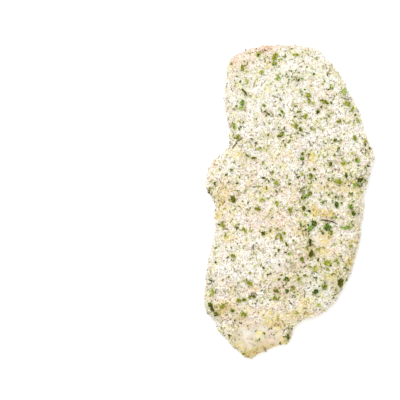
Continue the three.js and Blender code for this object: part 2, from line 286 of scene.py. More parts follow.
# The parsley flakes that are fused to the solid, by tone: place, length and width in mm and turn in
# degrees, in the order of the solid's source.
LARGE_FLAKES = {
    "dark": [
        (28.8, -45.7, 6, 5.2, 60), (21.2, -14.2, 5.4, 4.4, 60), (13.5, -12, 4.6, 3.4, 90),
        (26.4, -1.3, 5, 2.8, 100), (39.6, 12.4, 4, 3, 30), (31.9, 15, 4.4, 2, 95),
        (8, -3.2, 3.2, 2.4, 90), (-41.6, -63.2, 5, 3, 120), (-45, -58.3, 4.5, 3, 130),
        (-44, -61, 3.6, 2.4, 110), (-1.8, -43.6, 3.6, 2.8, 170), (-1.7, -50.4, 2.8, 2.4, 90),
        (12.2, -29.2, 5.6, 2.8, 80), (11.5, -22.8, 5, 1.8, 90), (-2, -24, 3.5, 1.4, 110),
        (-1, -77, 4.5, 2, 100), (36.2, -6.4, 4.2, 2.2, 120), (5.8, 41, 3.2, 2.2, 120),
        (5, 51, 3.4, 1.4, 5), (-12.5, 50, 3.2, 1.4, 145), (-5.2, 38, 5.8, 2.6, 35),
        (14.5, -51, 4, 3, 30), (-20.5, -53.4, 2.6, 2.2, 0), (-32.6, -61.6, 2.8, 2.2, 160),
        (22.8, 21.4, 3.2, 2.4, 80), (25.4, 35, 2.6, 2.2, 20), (15.7, 51, 2.6, 2, 60),
        (7.1, 27.4, 2.4, 1.8, 80), (-25.5, 62, 4.8, 1.4, 120), (-24.3, 26.4, 3.4, 1.4, 150),
        (-20.5, 25, 4, 1.4, 170), (-15.2, -17.8, 3.2, 2.6, 20),
    ],
    "green": [
        (11.6, -15, 4.4, 3, 50), (34.5, -2.8, 4.2, 3.4, 100), (8, 2.8, 4, 2.4, 70),
        (11, 4.6, 4.2, 1.8, 45), (31.8, -14.4, 6.4, 2.2, 8), (-32.2, 1.7, 4.6, 3.2, 120),
        (0, -4.5, 4.5, 1.6, 110), (-5, -20, 5.5, 1.6, 100), (19.4, 56.9, 6.6, 2.2, 155),
        (37, 10, 4, 2.2, 55), (7, 24.5, 2.8, 2.4, 0), (-7.5, 10.7, 3, 2.8, 90),
        (35.5, 52.5, 4.5, 2, 50), (-27, 56.4, 4.4, 2.4, 80), (-27, 76, 4.4, 2, 100),
        (37.9, 23.7, 3.4, 3, 10), (6.8, -32.2, 3.4, 3.2, 0), (-25.9, -15.8, 4.4, 1.9, 125),
        (-38, -59.2, 3.4, 2.2, 70), (-6.8, 70, 3.4, 2.4, 40), (38.5, 46.3, 4, 1.5, 125),
        (26.9, -33.9, 3.8, 1.6, 115), (-9, 78.2, 4, 2.4, 20), (12, 14.5, 3.5, 2.2, 110),
        (-31.8, 43, 4.6, 2.2, 110), (-32.4, -30.4, 4, 2.4, 160), (20, -48.2, 4, 2.4, 40),
        (34.5, -25.1, 2.8, 2.2, 20), (-18.4, -4, 3.6, 2.4, 170), (-29, -55.9, 3, 2.6, 0),
        (-8.8, -54.4, 3, 2.2, 60), (-26.4, -63.6, 4.6, 2.8, 150), (27.6, 45.6, 3, 1.9, 20),
        (-29.8, 36.9, 3.6, 2, 60), (-0.3, -29.4, 2.2, 2, 0), (-4.5, 51, 3, 1.8, 140),
    ],
    "pale": [
        (31, 63, 4.6, 3.2, 70), (32.6, 55.7, 4.4, 3.8, 160), (27.8, 11.5, 6.4, 3.2, 170),
        (21.6, -34.8, 5.2, 3.8, 30), (3.4, 43, 3.4, 3, 60), (10.1, 60.3, 3.6, 3, 140),
        (10.7, 56.9, 4.4, 2, 90), (8.7, 48.5, 3.4, 2.8, 60), (-8.6, 82.2, 5.6, 3, 65),
        (3.4, 83.4, 5, 1.6, 0), (36.8, 36.5, 3.6, 2.2, 110), (-7.5, -1, 4.2, 2.3, 105),
        (-38, -13.3, 3.8, 2.4, 120), (23.1, -17.6, 4, 2.4, 110), (-44, -51, 5, 2.2, 100),
        (16.5, -58.5, 3, 1.8, 170), (-23, -46, 5, 2.4, 150), (-27.8, 53.2, 3.5, 2, 30),
        (14.4, -37.8, 3.6, 2.8, 80), (5.1, -43.8, 3.4, 2.2, 100), (-25.6, -55.3, 3, 1.9, 150),
        (-17.6, 84.4, 3.4, 2.4, 30), (-15.8, 1.2, 3.2, 1.9, 20), (-16, 73.7, 3.2, 2, 20),
        (-24.6, 68.2, 3.2, 2, 100), (31.1, 22.2, 2.4, 2.2, 80),
    ],
}
SMALL_FLAKES = 64
SMALL_FLAKE = (1.8, 2.8)  # the shortest and the longest, in mm
SMALL_WIDTH = 0.62  # as a share of the length
# The tints of each tone, as shares of the way along the tones of parsley.
FLAKE_TONES = {"dark": (0.02, 0.3), "green": (0.3, 0.6), "pale": (0.5, 0.85), "small": (0.1, 0.8)}
FLAKE_CORNERS = 6
STEEPEST = 0.6  # how far up a normal points at least where parsley still lies
FLAKE_LIFT = 0.08 * MM  # how high a leaf's middle lies over the top of the solid's flake
LEAF_THICKNESS = 0.2 * MM
STALK_LIFT = 0.95 * MM  # how high a stalk's middle lies over the bed
STALK_RADIUS = (0.26 * MM, 0.34 * MM)

# Stalks of parsley: place and length in mm, turn in degrees, bow as a share of the length, and tone.
STALKS = [
    (21.6, -11.4, 10, -13, 0.12, 0.1), (-29.5, 33.8, 8.5, 48, 0.02, 0.4), (-12.5, -8, 6.5, 42, 0.05, 1.0),
    (8, -52, 4, 80, -0.1, 0.5), (-8, 60, 3.5, 150, 0.1, 0.6), (22, 74, 4, 35, -0.05, 0.9),
    (-31, -38, 4, 120, 0.1, 0.7), (35, -22, 4, 70, 0.1, 0.5), (11, 33, 4, 100, -0.1, 0.6),
    (-20, 66, 3.5, 75, 0.1, 0.8), (-19, 8.7, 5.5, 8, 0.05, 0.7), (-21, -25.5, 3, 100, 0.1, 0.4),
    (-15, -14, 4, 5, 0.1, 0.9),
]


class Wire:
    """A value that leaves a node. Sums written on it add Math nodes to its tree."""

    def __init__(self, graph, socket):
        self.graph, self.socket = graph, socket

    def maths(self, operation, *operands):
        return self.graph.node("ShaderNodeMath", {"operation": operation}, dict(enumerate(operands)))["Value"]

    def __add__(self, other):
        return self.maths("ADD", self, other)

    def __radd__(self, other):
        return self.maths("ADD", other, self)

    def __sub__(self, other):
        return self.maths("SUBTRACT", self, other)

    def __rsub__(self, other):
        return self.maths("SUBTRACT", other, self)

    def __mul__(self, other):
        return self.maths("MULTIPLY", self, other)

    def __rmul__(self, other):
        return self.maths("MULTIPLY", other, self)


class Made:
    """A node that was made, whose outputs are taken by name or identifier."""

    def __init__(self, graph, node):
        self.graph, self.node = graph, node

    def __getitem__(self, name):
        return Wire(self.graph, find_socket(self.node.outputs, name))


def find_socket(sockets, key):
    if isinstance(key, int):
        return sockets[key]
    return next(s for s in sockets if s.enabled and key in (s.identifier, s.name))


class Graph:
    """A tree of nodes being made, for a material or for Geometry Nodes."""

    def __init__(self, tree):
        self.tree = tree

    def node(self, kind, settings=None, inputs=None):
        made = self.tree.nodes.new(kind)
        for name, value in (settings or {}).items():
            if name == "stops":
                ramp = made.color_ramp.elements
                while len(ramp) < len(value):
                    ramp.new(1)
                for stop, (place, colour) in zip(ramp, value):
                    stop.position, stop.color = place, (*colour, 1)
            else:
                setattr(made, name, value)
        for key, value in (inputs or {}).items():
            socket = find_socket(made.inputs, key)
            if isinstance(value, Wire):
                self.tree.links.new(value.socket, socket)
            else:
                socket.default_value = value
        return Made(self, made)

    def mix(self, share, a, b):
        colours = {
            "A_Color": a if isinstance(a, Wire) else (*a, 1),
            "B_Color": b if isinstance(b, Wire) else (*b, 1),
        }
        mixed = self.node("ShaderNodeMix", {"data_type": "RGBA"}, {"Factor_Float": share, **colours})
        return mixed["Result_Color"]

    def between(self, value, low, high):
        """0 where a value is under low, 1 over high, smooth between."""
        return self.node(
            "ShaderNodeMapRange",
            {"interpolation_type": "SMOOTHSTEP"},
            {"Value": value, "From Min": low, "From Max": high},
        )["Result"]


class GeometryTree(Graph):
    """A Geometry Nodes tree, with its inputs made from a table of names and kinds."""

    def __init__(self, name, inputs):
        super().__init__(bpy.data.node_groups.new(name, "GeometryNodeTree"))
        face = self.tree.interface
        face.new_socket("Geometry", in_out="INPUT", socket_type="NodeSocketGeometry")
        self.names = {
            key: face.new_socket(key, in_out="INPUT", socket_type="NodeSocket" + kind).identifier
            for key, kind in inputs.items()
        }
        face.new_socket("Geometry", in_out="OUTPUT", socket_type="NodeSocketGeometry")
        self.inputs = self.node("NodeGroupInput")

    def per(self, size):
        """One over a size."""
        return self.node("ShaderNodeMath", {"operation": "DIVIDE"}, {0: 1.0, 1: size})["Value"]

    def vector(self, operation, inputs):
        return self.node("ShaderNodeVectorMath", {"operation": operation}, inputs)["Vector"]

    def stored(self, name):
        return self.node("GeometryNodeInputNamedAttribute", inputs={"Name": name})["Attribute"]

    def marked(self, geometry, domain, name, value):
        inputs = {"Geometry": geometry, "Name": name, "Value": value}
        return self.node("GeometryNodeStoreNamedAttribute", {"domain": domain}, inputs)["Geometry"]

    def moved(self, **inputs):
        return self.node("GeometryNodeSetPosition", inputs=inputs)["Geometry"]

    def over_floor(self, geometry):
        place = self.node("GeometryNodeInputPosition")["Position"]
        raised = self.vector("MAXIMUM", {0: place, 1: (-1, -1, FLOOR_GAP)})
        return self.moved(Geometry=geometry, Position=raised)

    def end(self, geometry):
        self.node("NodeGroupOutput", inputs={"Geometry": geometry})

    def on(self, name, mesh, values):
        """A new piece: what the tree makes of a mesh, as a plain mesh."""
        bed = new_object(name + "_bed", mesh)
        modifier = bed.modifiers.new(name, "NODES")
        modifier.node_group = self.tree
        for key, value in values.items():
            modifier[self.names[key]] = value
        made = baked(bed, name)
        made.data.materials.clear()
        bpy.data.objects.remove(bed)
        return made


def new_object(name, data, collection=None):
    made = bpy.data.objects.new(name, data)
    (collection or bpy.context.scene.collection).objects.link(made)
    return made


def new_mesh(name, points, faces):
    mesh = bpy.data.meshes.new(name)
    mesh.from_pydata([tuple(p) for p in points], [], faces)
    return mesh


def baked(source, name):
    """A new object with the mesh that an object's modifiers leave."""
    depsgraph = bpy.context.evaluated_depsgraph_get()
    mesh = bpy.data.meshes.new_from_object(source.evaluated_get(depsgraph))
    mesh.name = name
    return new_object(name, mesh)


def draw(item, use):
    """A repeatable share from 0 to 1, as in the solid's source."""
    return (math.sin(item * 12.9898 + use * 78.233) * 43758.5453) % 1


def blend(a, b, share):
    return a + (b - a) * share


# Materials.

def new_material(name, **constants):
    material = bpy.data.materials.new(name)
    material.use_nodes = True
    graph = Graph(material.node_tree)
    shader = material.node_tree.nodes["Principled BSDF"]
    for key, value in constants.items():
        shader.inputs[key.replace("_", " ")].default_value = value
    return material, graph, shader


def feed(graph, shader, **wires):
    for key, wire in wires.items():
        graph.tree.links.new(wire.socket, shader.inputs[key.replace("_", " ")])


def noise(graph, scale_mm, detail=2, roughness=0.5, seed=0):
    """Noise with features of about a size in mm."""
    vector = graph.node("ShaderNodeTexCoord")["Object"]
    return graph.node(
        "ShaderNodeTexNoise",
        {"noise_dimensions": "4D"},
        {"Vector": vector, "W": seed, "Scale": 1 / (scale_mm * MM), "Detail": detail, "Roughness": roughness},
    )["Fac"]


def attribute(graph, name):
    return graph.node("ShaderNodeAttribute", {"attribute_name": name})["Fac"]


def bump(graph, height, distance_mm, strength=1.0):
    return graph.node(
        "ShaderNodeBump", inputs={"Height": height, "Distance": distance_mm * MM, "Strength": strength}
    )["Normal"]


def cells(graph, size_mm):
    """Packed grains of about a size: a share of its own for each, and how far from its middle."""
    inputs = {"Vector": graph.node("ShaderNodeTexCoord")["Object"], "Scale": 1 / (size_mm * MM)}
    grains = graph.node("ShaderNodeTexVoronoi", {"feature": "F1"}, inputs)
    return grains["Color"], grains["Distance"]


# Tones that the coat drifts towards in patches: colour, size in mm, and at most how far.
DRIFTS = {
    "egg": ((0.91, 0.83, 0.42), 4.0, 0.57),
    "meat": ((0.93, 0.78, 0.70), 4.8, 0.75),
    "herb": ((0.93, 0.95, 0.87), 5.0, 0.28),
    "flour": ((0.985, 0.96, 0.94), 3.8, 0.75),
}
# The first is painted shade for the dull places, tinted olive; the second the stain of parsley juice; the
# third the crumbs' dim end, partly darker crumbs and partly painted shade.
OLIVE_SHADE, JUICE, DIM_AND_SHADE = (0.34, 0.26, 0.06), (0.62, 0.65, 0.18), (0.19, 0.145, 0.09)
# Stains of the spots, and the painted shade of the dull ones: which spots, how strong one is where it stains
# or shades first and fully, at most how much, and the colour.
STAINS = [
    ("cool", 0.15, 1.1, 0.28, (0.86, 0.94, 0.84)),
    ("dull", 0.15, 1.1, 0.4, OLIVE_SHADE),
    ("pink", 0.15, 1.1, 0.55, (0.86, 0.62, 0.50)),
    ("warm", 0.15, 1.1, 0.8, (0.80, 0.67, 0.22)),
    # Deeper painted shade where the dull places are strongest, chiefly on the tail's rim.
    ("dull", 1.6, 3.0, 0.4, OLIVE_SHADE),
    ("pink", 1.8, 3.4, 0.8, (0.50, 0.31, 0.19)),
    ("warm", 1.2, 2.2, 0.5, (0.58, 0.41, 0.12)),
]
# The bed's colours: two of its grains; painted shade, brown in the cracks between them and olive with herb
# dust in the gaps between clumps; and two of its wet places.
GRAINS = (0.72, 0.65, 0.52), (0.88, 0.83, 0.74)
CRACK_SHADE, GAP_SHADE = (0.42, 0.33, 0.20), (0.38, 0.31, 0.13)
WET = (0.65, 0.60, 0.50), (0.60, 0.49, 0.37)


def drifting(graph, colour, share=1.0):
    """A colour of the coat with its patches."""
    for item, (name, (tone, size_mm, most)) in enumerate(DRIFTS.items()):
        low = 0.5 if name != "flour" else 0.52 - 0.18 * attribute(graph, "flour")
        patch = graph.between(noise(graph, size_mm, 2, 0.5, seed=10 + item), low, low + 0.12)
        colour = graph.mix(share * most * patch, colour, tone)
    return colour


def stained(graph, colour):
    """A colour of the coat with the stains and the painted shade of its darker places, as painted on the bed.
    """
    uneven = 0.25 + 1.4 * graph.between(noise(graph, 1.3, 2, 0.6, seed=15), 0.4, 0.6)
    colour = graph.mix(0.4 * attribute(graph, "juice"), colour, JUICE)
    for name, low, high, most, tone in STAINS:
        stain = graph.between(attribute(graph, name) * uneven, low, high)
        colour = graph.mix(most * stain, colour, tone)
    return colour


def coat_material():
    """The bed between the crumbs: packed fine crumbs, painted shade in cracks and gaps, and wet where it is
    thin.
    """
    material, graph, shader = new_material("crumb_bed", Specular_IOR_Level=0.4)
    own, off = cells(graph, 0.9)
    thin = graph.between(attribute(graph, "thin"), 0.25, 0.85)
    dry = drifting(graph, graph.mix(own, *GRAINS))
    # Painted shade in the cracks between the grains.
    dry = graph.mix(graph.between(off, 0.5, 0.85), dry, CRACK_SHADE)
    # Painted shade, tinted olive, in the gaps between clumps.
    dry = graph.mix(0.4 * attribute(graph, "sunk"), dry, GAP_SHADE)
    wet = graph.mix(graph.between(noise(graph, 3.5, 3, seed=4), 0.4, 0.62), *WET)
    colour = stained(graph, graph.mix(thin, dry, wet))
    roughness = 0.8 - 0.42 * thin
    grain = (1 - off) * (1 - 0.8 * thin) + 0.4 * noise(graph, 0.8, 3, 0.6)
    feed(graph, shader, Base_Color=colour, Roughness=roughness, Normal=bump(graph, grain, 0.35))
    return material


def crumb_material(name, light, lightest, shade, toasted=False):
    """Dry crumbs: each has its own tint, from dim to the light of the patch and stain that it lies in; the
    dim end is partly darker crumbs and partly painted shade, and a fine mottle adds painted shade. Toasted
    ones keep their colour."""
    material, graph, shader = new_material(name, Specular_IOR_Level=0.3)
    colour = drifting(graph, light, 0.3) if toasted else stained(graph, drifting(graph, light))
    # The dim end: partly darker crumbs, partly painted shade.
    dim = graph.mix(shade, colour, DIM_AND_SHADE)
    colour = graph.mix(graph.between(attribute(graph, "tint"), 0.0, lightest), dim, colour)
    mottle = graph.between(noise(graph, 0.5), 0.35, 0.65)
    # A fine mottle of painted shade on the crumbs.
    colour = graph.mix(0.3 * mottle, colour, dim)
    relief = bump(graph, noise(graph, 0.25, 2), 0.1)
    feed(graph, shader, Base_Color=colour, Roughness=0.75 + 0.15 * mottle, Normal=relief)
    return material


def leaf_material(name, tones, fresh=None):
    """Chopped parsley, veined: a bit's own tint takes it from the first tone to the last. Some is fresh."""
    material, graph, shader = new_material(name, Specular_IOR_Level=0.04)
    # Noise spreads each bit's tint across it: partly the leaf's own uneven tone, partly painted shade and
    # highlight.
    own = attribute(graph, "tint") + 2.2 * (noise(graph, 1.0, 2, seed=5) - 0.5)

    def by_tint(ramp):
        stops = [(item / (len(ramp) - 1), tone) for item, tone in enumerate(ramp)]
        return graph.node("ShaderNodeValToRGB", {"stops": stops}, {"Fac": own})["Color"]

    colour = by_tint(tones)
    if fresh:
        share = noise(graph, 6, 2, seed=6) + 0.25 * attribute(graph, "fresh")
        colour = graph.mix(graph.between(share, 0.57, 0.66), colour, by_tint(fresh))
    veins = graph.node(
        "ShaderNodeTexVoronoi",
        {"feature": "DISTANCE_TO_EDGE"},
        {"Vector": graph.node("ShaderNodeTexCoord")["Object"], "Scale": 1 / (0.8 * MM)},
    )["Distance"]
    relief = bump(graph, graph.between(veins, 0.0, 0.25), 0.12, 0.7)
    feed(graph, shader, Base_Color=colour, Roughness=0.5 + 0.2 * noise(graph, 0.6), Normal=relief)
    return material


# The coat's bed.

def patches(points, spots):
    """How strongly each point lies in spots: the sum of their soft ellipses."""
    total = np.zeros(len(points))
    for x, y, reach_x, reach_y, strength in spots.values():
        off = (points[:, :2] / MM - (x, y)) / (reach_x, reach_y)
        total += strength * np.exp(-(off ** 2).sum(1))
    return total


def places_of(mesh):
    return np.array([vertex.co for vertex in mesh.vertices])


def store(mesh, name, values):
    mesh.attributes.new(name, "FLOAT", "POINT").data.foreach_set("value", np.asarray(values, np.float32))


def under_flakes(points, margin=0):
    """How far each point lies under a large flake, or under a margin in mm about it, from 0 to 1."""
    cover = np.zeros(len(points))
    for flakes in LARGE_FLAKES.values():
        for x, y, length, width, degrees in flakes:
            turn = math.radians(degrees)
            off = points[:, :2] / MM - (x, y)
            along = off @ (math.cos(turn), math.sin(turn)) / (length / 2 + margin)
            across = off @ (-math.sin(turn), math.cos(turn)) / (width / 2 + margin)
            cover = np.maximum(cover, np.exp(-((along ** 2 + across ** 2) ** 2)))
    return cover


def relief_tree():
    """Clumps with gaps between, and grain, over a smooth form drawn in under them, less so at its sides,
    and lower where the form is bare. Gaps are marked as sunk."""
    names = "Inset", "Clump Size", "Clump Height", "Grain Size", "Grain Height"
    tree = GeometryTree("coat_relief", dict.fromkeys(names, "Float"))
    put, normal = tree.inputs, tree.node("GeometryNodeInputNormal")["Normal"]
    place = tree.node("GeometryNodeInputPosition")["Position"]

    def uneven(size):
        inputs = {"Vector": place, "Scale": tree.per(put[size]), "Detail": 2.0}
        return tree.node("ShaderNodeTexNoise", {"noise_dimensions": "3D"}, inputs)

    wander = tree.vector("ADD", {0: uneven("Clump Size")["Color"], 1: (-0.5, -0.5, -0.5)})
    wander = tree.vector("SCALE", {"Vector": wander, "Scale": 1.6 * put["Clump Size"]})
    gap = tree.node("ShaderNodeTexVoronoi", {"feature": "DISTANCE_TO_EDGE"}, {
        "Vector": tree.vector("ADD", {0: place, 1: wander}), "Scale": tree.per(put["Clump Size"]),
    })["Distance"]
    clumps = (tree.between(gap, 0.0, 0.3) - 0.6) * put["Clump Height"]
    rise = clumps + (uneven("Grain Size")["Fac"] - 0.5) * 2 * put["Grain Height"]
    rise = rise * (1 - 0.75 * tree.between(tree.stored("bare"), 0.4, 0.9))
    up = tree.node("ShaderNodeSeparateXYZ", inputs={"Vector": normal})["Z"]
    inset = put["Inset"] * (0.25 + 0.75 * tree.between(up, 0.3, 0.9))
    offset = tree.vector("SCALE", {"Vector": normal, "Scale": rise - inset})
    moved = tree.moved(Geometry=put["Geometry"], Offset=offset)
    marked = tree.marked(moved, "POINT", "sunk", 1 - tree.between(gap, 0.03, 0.12))
    tree.end(tree.over_floor(marked))
    return tree


def make_bed():
    """The slice under its crumbs: the solid's own form, smoothed, with the coat's fine relief."""
    form = new_object("form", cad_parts["schnitzel"].data.copy())
    weld = form.modifiers.new("weld", "WELD")
    weld.merge_threshold = 0.01 * MM
    remesh = form.modifiers.new("remesh", "REMESH")
    remesh.mode, remesh.voxel_size = "VOXEL", GRAIN_MESH
    smooth = form.modifiers.new("smooth", "SMOOTH")
    smooth.factor, smooth.iterations = 0.5, 8
    even = baked(form, "even_form")
    bpy.data.objects.remove(form)
    store(even.data, "bare", patches(places_of(even.data), THIN_SPOTS))
    bed = relief_tree().on("crumb_bed", even.data, {
        "Inset": COAT_INSET, "Clump Size": 2.8 * MM, "Clump Height": 0.65 * MM,
        "Grain Size": 1.2 * MM, "Grain Height": 0.3 * MM,
    })
    bpy.data.objects.remove(even)
    bed.data.shade_smooth()
    return bed


def paint(mesh):
    """Stores on the bed how thin, stained and full of parsley the coat is, where it takes painted shade, and
    where crumbs lie.
    """
    points = places_of(mesh)
    up = np.array([vertex.normal.z for vertex in mesh.vertices], np.float32)
    sunk = np.array([mark.value for mark in mesh.attributes["sunk"].data], np.float32)
    # Off the underside, and how far the surface has turned to the side.
    shown = up > -0.7
    wall = np.where(shown, ((0.85 - up) / 0.4).clip(0, 1), 0)
    painted = (
        THIN_SPOTS, WARM_SPOTS, PINK_SPOTS, COOL_SPOTS, DULL_SHADE_SPOTS, FLOUR_SPOTS, PARSLEY_SPOTS, FRESH_SPOTS,
    )
    thin, warm, pink, cool, dull, flour, parsley, fresh = (
        np.where(shown, patches(points, spots), 0) for spots in painted
    )
    thin = (thin + wall * patches(points, BARE_RIMS)).clip(0, 1)
    clear = np.where(shown, 1 - 0.95 * under_flakes(points), 1)
    crumbs = np.where(shown, (1 - 0.95 * thin).clip(0.1, 1), 0.35) * clear
    parsley = (0.36 - 0.27 * wall + parsley).clip(0, None) * (1 - 0.6 * thin) / 2.4
    fields = {
        "thin": thin,
        "warm": warm.clip(0, 2),
        "pink": pink.clip(0, 3),
        "cool": cool.clip(0, 1.5),
        "dull": dull.clip(0, 3),
        "flour": flour.clip(0, 1),
        "fresh": fresh,
        "crumbs": crumbs,
        "tops": (crumbs * (1 - 0.8 * sunk) * (0.8 - 0.45 * dull + 0.4 * flour) * (1 - 0.6 * wall)).clip(0, 1),
        "browned": (warm - 0.4).clip(0.03, 1) * (1 - 0.8 * wall),
        "parsley": (parsley * (0.6 + 0.8 * sunk)).clip(0, 1),
        "upper": np.where(up > 0.8, parsley, 0).clip(0, 1),
        "hollows": (parsley * (0.15 + 1.6 * sunk) * (1 - 0.5 * flour)).clip(0, 1),
    }
    for name, values in fields.items():
        store(mesh, name, values)


def paint_juice(mesh, leaves):
    """Stores on the bed how near it lies to parsley, whose juice stains the crumbs."""
    places = [vertex.co for leaf in leaves for vertex in leaf.data.vertices]
    near = KDTree(len(places))
    for index, place in enumerate(places):
        near.insert(place, index)
    near.balance()
    points = places_of(mesh)
    off = np.array([near.find(point)[2] for point in points])
    juice = np.maximum(np.exp(-((off / JUICE_REACH) ** 2)), under_flakes(points, FLAKE_JUICE))
    store(mesh, "juice", 0.8 * juice)


# Bits that are scattered.

def shape_set(name, count, make):
    """A collection of shapes for scattering, each a unit across."""
    collection = bpy.data.collections.new(name)
    for item in range(count):
        own_name = f"{name}_{item}"
        new_object(own_name, new_mesh(own_name, *make(item)), collection)
    return collection


def add_part(points, faces, own_points, own_faces):
    """Adds a part's points and faces to those of a whole."""
    faces += [tuple(len(points) + i for i in face) for face in own_faces]
    points += own_points


def coarse_crumb(item):
    """A broken crumb: twelve corners of an uneven block, a unit across."""
    golden = (1 + math.sqrt(5)) / 2
    corners = []
    for a in (-1, 1):
        for b in (-golden, golden):
            corners += [(a, b, 0), (0, a, b), (b, 0, a)]
    unit = [Vector(c).normalized() for c in corners]
    points = [c * 0.5 * blend(0.6, 1.15, draw(item * 17 + k, 41)) for k, c in enumerate(unit)]
    faces = []
    for i in range(12):
        for j in range(i + 1, 12):
            for k in range(j + 1, 12):
                if all((unit[a] - unit[b]).length < 1.1 for a, b in ((i, j), (j, k), (i, k))):
                    outward = (unit[j] - unit[i]).cross(unit[k] - unit[i]).dot(unit[i]) > 0
                    faces.append((i, j, k) if outward else (i, k, j))
    squash = Vector((1, blend(0.6, 0.95, draw(item, 42)), blend(0.5, 0.9, draw(item, 43))))
    return [p * squash for p in points], faces


def fine_crumb(item):
    """A grain: six uneven corners, a unit across."""
    corners = [(1, 0, 0), (0, 1, 0), (-1, 0, 0), (0, -1, 0), (0, 0, 1), (0, 0, -1)]
    points = [
        (Vector(c) + 0.35 * Vector([draw(item * 13 + k, 51 + n) - 0.5 for n in range(3)])) * 0.5
        * blend(0.7, 1.1, draw(item * 13 + k, 54))
        for k, c in enumerate(corners)
    ]
    faces = [(a, (a + 1) % 4, 4) for a in range(4)] + [((a + 1) % 4, a, 5) for a in range(4)]
    return [p * Vector((1, 0.85, 0.8)) for p in points], faces


def clump(item):
    """Three crumbs that egg has stuck together, a unit across."""
    points, faces = [], []
    for part in range(3):
        own_points, own_faces = coarse_crumb(3 * item + part)
        turn = math.tau * (part + 0.5 * draw(item, 44)) / 3
        shift = Vector((math.cos(turn), math.sin(turn), 0.3 * draw(3 * item + part, 45))) * 0.24
        add_part(points, faces, [0.62 * p + shift for p in own_points], own_faces)
    return points, faces


def leaf_bit(item, length=1.0, corners=9, thickness=0.1, outline=None):
    """A bit of leaf: a ragged outline, bent, folded along its middle and curled, with some thickness."""
    width = 1 if outline else blend(0.25, 0.85, draw(item, 65))
    bow = 0 if outline else blend(-0.9, 0.9, draw(item, 66)) * (1 - width)
    rim = outline or [
        (blend(0.35, 1, draw(item * 11 + k, 61)), math.tau * (k + 0.5 * draw(item * 11 + k, 62)) / corners)
        for k in range(corners)
    ]
    bent = 0.4 if outline else 1
    curl, crease = bent * blend(-0.4, 0.5, draw(item, 63)), bent * blend(-0.3, 0.6, draw(item, 64))
    flat = [(0.0, 0.0)] + [(0.5 * r * math.cos(t), 0.5 * width * r * math.sin(t)) for r, t in rim]
    points = []
    for side in (1, -1):
        for x, y in flat:
            rise = curl * x * x + crease * abs(y) + side * thickness / 2
            points.append(Vector((x, y + bow * x * x, rise)) * length)
    n, back = len(rim), len(rim) + 1
    faces = []
    for k in range(n):
        a, b = 1 + k, 1 + (k + 1) % n
        faces += [(0, a, b), (back, back + b, back + a), (a, back + a, b), (b, back + a, back + b)]
    return points, faces


def torn_leaf(item, parts=3, corners=9):
    """A torn leaf: bits that hang together along a bent line, a unit long."""
    points, faces = [], []
    turn, middle = 0.0, Vector((-0.3, 0, 0))
    for part in range(parts):
        own = 3 * item + part
        own_points, own_faces = leaf_bit(own, blend(0.3, 0.62, draw(own, 91)) * 3 / parts, corners)
        turned = Euler((0.4 * (draw(own, 92) - 0.5), 0, turn)).to_quaternion()
        add_part(points, faces, [middle + turned @ p for p in own_points], own_faces)
        turn += 1.8 * (draw(own, 93) - 0.5)
        middle += Vector((math.cos(turn), math.sin(turn), 0.1)) * 0.84 / parts
    return points, faces


def speck(item):
    """A torn leaf of two bits with few corners, for the smallest."""
    return torn_leaf(item, 2, 5)


def scatter_tree():
    """Bits strewn over a bed. An attribute says where, and patches of a size are left barer."""
    tree = GeometryTree("strewn_bits", {
        "Shapes": "Collection", "Where": "String", "Spacing": "Float", "Density": "Float",
        "Patch Size": "Float", "Bareness": "Float", "Patch Seed": "Float", "Smallest": "Float",
        "Largest": "Float", "Tilt": "Float", "Lift": "Float", "Seed": "Int", "Material": "Material",
    })
    put, place = tree.inputs, tree.node("GeometryNodeInputPosition")["Position"]
    patch = tree.node("ShaderNodeTexNoise", {"noise_dimensions": "4D"}, {
        "Vector": place, "W": put["Patch Seed"], "Scale": tree.per(put["Patch Size"]),
    })["Fac"]
    share = tree.stored(put["Where"]) * (1 - put["Bareness"] * (1 - tree.between(patch, 0.42, 0.58)))
    strewn = tree.node("GeometryNodeDistributePointsOnFaces", {"distribute_method": "POISSON"}, {
        "Mesh": put["Geometry"], "Distance Min": put["Spacing"], "Density Max": put["Density"],
        "Density Factor": share, "Seed": put["Seed"],
    })

    def chance(low, high, use, kind="FLOAT"):
        inputs = {"Min": low, "Max": high, "Seed": put["Seed"] + use}
        return tree.node("FunctionNodeRandomValue", {"data_type": kind}, inputs)["Value"]

    size = chance(0.0, 1.0, 1)
    size = put["Smallest"] + (put["Largest"] - put["Smallest"]) * size * size
    lift = tree.vector("SCALE", {"Vector": strewn["Normal"], "Scale": put["Lift"]})
    turn = tree.node("ShaderNodeCombineXYZ", inputs={
        "X": put["Tilt"] * chance(-1.0, 1.0, 2),
        "Y": put["Tilt"] * chance(-1.0, 1.0, 3),
        "Z": chance(0.0, math.tau, 4),
    })["Vector"]
    rotation = tree.node("FunctionNodeRotateRotation", {"rotation_space": "LOCAL"}, {
        "Rotation": strewn["Rotation"], "Rotate By": turn,
    })["Rotation"]
    shapes = tree.node("GeometryNodeCollectionInfo", inputs={
        "Collection": put["Shapes"], "Separate Children": True, "Reset Children": True,
    })["Instances"]
    placed = tree.node("GeometryNodeInstanceOnPoints", inputs={
        "Points": tree.moved(Geometry=strewn["Points"], Offset=lift), "Instance": shapes,
        "Pick Instance": True, "Instance Index": chance(0, 99, 5, "INT"),
        "Rotation": rotation, "Scale": size,
    })["Instances"]
    tinted = tree.marked(placed, "INSTANCE", "tint", chance(0.0, 1.0, 6))
    real = tree.node("GeometryNodeRealizeInstances", inputs={"Geometry": tinted})["Geometry"]
    dressed = tree.node("GeometryNodeSetMaterial", inputs={
        "Geometry": tree.over_floor(real), "Material": put["Material"],
    })["Geometry"]
    tree.end(dressed)
    return tree


# Parsley that is placed.

